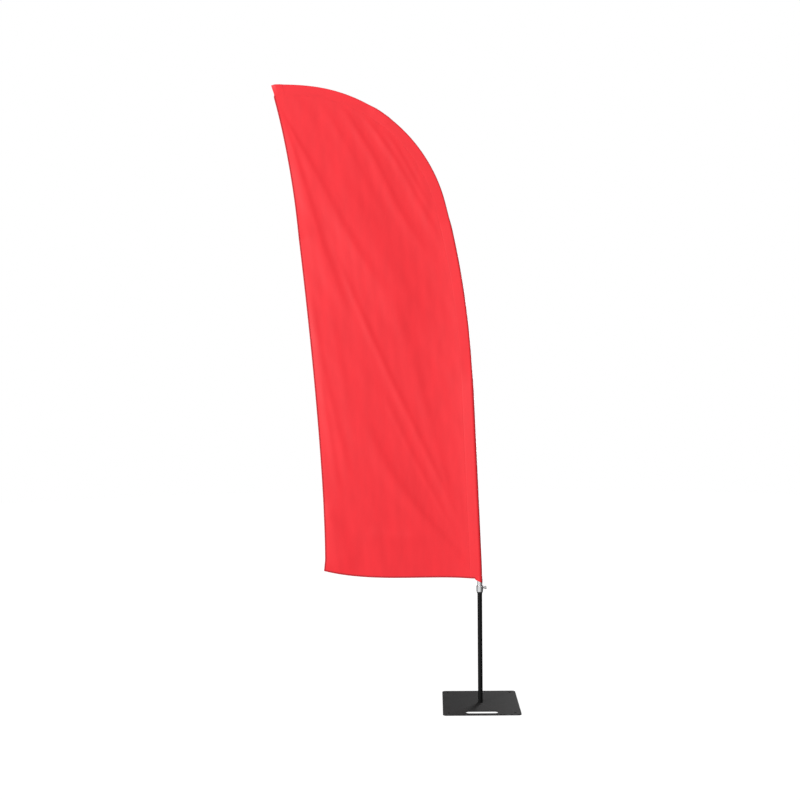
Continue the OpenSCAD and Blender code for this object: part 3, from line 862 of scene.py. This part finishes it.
def make_flag():
    panel = cloth_piece(
        "flag_cloth", 110, 300, flag_place, flag_weave, flag_red, CLOTH_WALL
    )
    on_mast(panel, "flag_red", "flag_panel")
    leech_hem = edge_band("leech_hem", LEECH, -1, LEECH_HEM, HEM_HEIGHT, 300, end=LEECH_HEM_END)
    foot_hem = edge_band("foot_hem", FOOT, 1, FOOT_HEM, HEM_HEIGHT, 120)
    leech_spots = panel_stitches(
        LEECH, -1, LEECH_STITCH_IN, HEM_STITCH_LIFT, end=LEECH_STITCH_END
    )
    foot_spots = panel_stitches(FOOT, 1, FOOT_STITCH_IN, HEM_STITCH_LIFT)
    luff_spots = []
    for inward in SEAM_STITCHES_IN:
        luff_spots += panel_stitches(SEAM, 1, inward, SEAM_STITCH_LIFT, end=SEAM_STITCH_END)
    trims = [
        leech_hem, foot_hem,
        stitching("leech_stitches", leech_spots, *HEM_STITCH, thread_red),
        stitching("foot_stitches", foot_spots, *HEM_STITCH, thread_red),
        stitching("luff_stitches", luff_spots, *SEAM_STITCH, thread_red),
    ]
    for trim in trims:
        on_mast(trim, "flag_red")


def make_sleeve():
    sleeve = cloth_piece(
        "sleeve_cloth", 32, 420, sleeve_place(SLEEVE_FOOT, FLAG_TIP, seam_depth, SLEEVE_EASE),
        sleeve_weave(SLEEVE_FOOT, FLAG_TIP), flag_red, CLOTH_WALL,
    )
    on_mast(sleeve, "flag_red", "pole_sleeve")
    hem_start, hem_end = (SLEEVE_FOOT + far for far in SLEEVE_HEM)
    for name, part in SLEEVE_HEM_PARTS:
        hem = cloth_piece(
            name, 6, 4, sleeve_place(hem_start, hem_end, seam_depth, SLEEVE_EASE, part=part),
            sleeve_weave(SLEEVE_FOOT, SLEEVE_FOOT + SLEEVE_HEM_WIDTH), shaded_hem_red, SLEEVE_HEM_WALL,
        )
        on_mast(hem, "flag_red")
    cuff = cloth_piece(
        "cuff_cloth", 40, 24,
        sleeve_place(CUFF_FOOT, CUFF_TOP, cuff_depth, CUFF_EASE, cuff_slant),
        sleeve_weave(CUFF_FOOT, CUFF_TOP), flag_red, CUFF_WALL,
    )
    on_mast(cuff, "flag_red", "sleeve_cuff")
    pocket = cloth_piece(
        "tip_patch", 28, 16, sleeve_place(PATCH_FOOT, FLAG_TIP, seam_depth, PATCH_EASE),
        sleeve_weave(PATCH_FOOT, FLAG_TIP), flag_red, CLOTH_WALL,
    )
    on_mast(pocket, "flag_red", "tip_pocket")


def make_strap():
    """The elastic strap from the cuff to the thumb screw, with rounded edges and its eyelet."""
    strap = smoothed_copy("tension_strap", "strap_webbing", strap_dark, 0.3 * MM)
    on_mast(strap, "strap_dark")


# --- Studio ---

WINDOW_SIDE = (-0.45, -0.80, 0.40)      # where the soft light comes from
SOFT_FROM = -0.1                        # how far round to the back it reaches
SOFT_LIGHT = (0.10, 0.91)               # its strength there and at its strongest

LIGHT_TARGET = (-0.4, 0.0, 1.7)
KEY_PLACE, KEY_SIZE, KEY_POWER = (-6.6, -6.8, 2.6), 2.2, 545
BACK_PLACE, BACK_SIZE, BACK_POWER = (3.5, 6.5, 2.4), 3.0, 420

FLOOR_RADIUS = 14.0
FLOOR_GLOW = 0.97

CAMERA_PLACE = (-0.2362, -4.798, 1.5144)
CAMERA_ROLL = 0.35                      # degrees
CAMERA_SHIFT = (-0.0425, 0.02125)
LENS = 40.85
SENSOR = 36.0


def make_studio():
    finish, tree, shader = start_finish("studio_floor", 0.9, Specular_IOR_Level=0.0)
    dust = cloud(tree, pattern_space(tree), 3.0)
    pale = tones(tree, dust, (0.3, (0.10, 0.10, 0.10)), (0.7, (0.12, 0.12, 0.12)))
    connect(tree, shader, Base_Color=pale)
    shader.inputs["Emission Color"].default_value = (1, 1, 1, 1)
    shader.inputs["Emission Strength"].default_value = FLOOR_GLOW
    bm = bmesh.new()
    bmesh.ops.create_circle(bm, cap_ends=True, segments=64, radius=FLOOR_RADIUS)
    floor = finish_piece("studio_floor", bm, finish, smooth_faces=False)
    floor.visible_diffuse = False
    floor.visible_glossy = False
    studio_world()
    soft_light("key_light", KEY_PLACE, LIGHT_TARGET, KEY_SIZE, KEY_POWER)
    soft_light("back_light", BACK_PLACE, LIGHT_TARGET, BACK_SIZE, BACK_POWER)
    bpy.context.scene.view_settings.view_transform = "Standard"


def studio_world():
    """White behind the object; round it, soft light that is strongest from the front left."""
    world = bpy.data.worlds.new("studio")
    world.use_nodes = True
    tree = world.node_tree
    soft = tree.nodes["Background"]
    soft.inputs["Color"].default_value = (1, 1, 1, 1)
    way = add(tree, "TexCoord").outputs["Generated"]
    toward = add(
        tree, "VectorMath", {0: way, 1: WINDOW_SIDE}, operation="DOT_PRODUCT"
    ).outputs["Value"]
    tree.links.new(spread(tree, toward, SOFT_FROM, 1.0, *SOFT_LIGHT), soft.inputs["Strength"])
    seen = add(tree, "Background", {"Color": (1, 1, 1, 1), "Strength": 1.0})
    shown = add(tree, "LightPath").outputs["Is Camera Ray"]
    pick = add(tree, "MixShader", {0: shown, 1: soft.outputs[0], 2: seen.outputs[0]})
    tree.links.new(pick.outputs["Shader"], tree.nodes["World Output"].inputs["Surface"])
    bpy.context.scene.world = world


def soft_light(name, place, target, size, power):
    lamp = bpy.data.lights.new(name, "AREA")
    lamp.energy = power
    lamp.size = size
    holder = bpy.data.objects.new(name, lamp)
    holder.location = place
    holder.rotation_euler = (Vector(target) - Vector(place)).to_track_quat("-Z", "Y").to_euler()
    bpy.context.scene.collection.objects.link(holder)


def make_camera():
    lens = bpy.data.cameras.new("camera")
    lens.sensor_width = SENSOR
    lens.lens = LENS
    lens.shift_x, lens.shift_y = CAMERA_SHIFT
    camera = bpy.data.objects.new("camera", lens)
    roll = math.radians(CAMERA_ROLL)
    right = Vector((math.cos(roll), 0, -math.sin(roll)))
    up = Vector((math.sin(roll), 0, math.cos(roll)))
    turn = Matrix((right, up, Vector((0, -1, 0)))).transposed().to_4x4()
    camera.matrix_world = Matrix.Translation(CAMERA_PLACE) @ turn
    bpy.context.scene.collection.objects.link(camera)
    bpy.context.scene.camera = camera


make_camera()
make_studio()
refinish_nodes()
make_base()
make_collar()
make_strap()
make_sleeve()
make_flag()
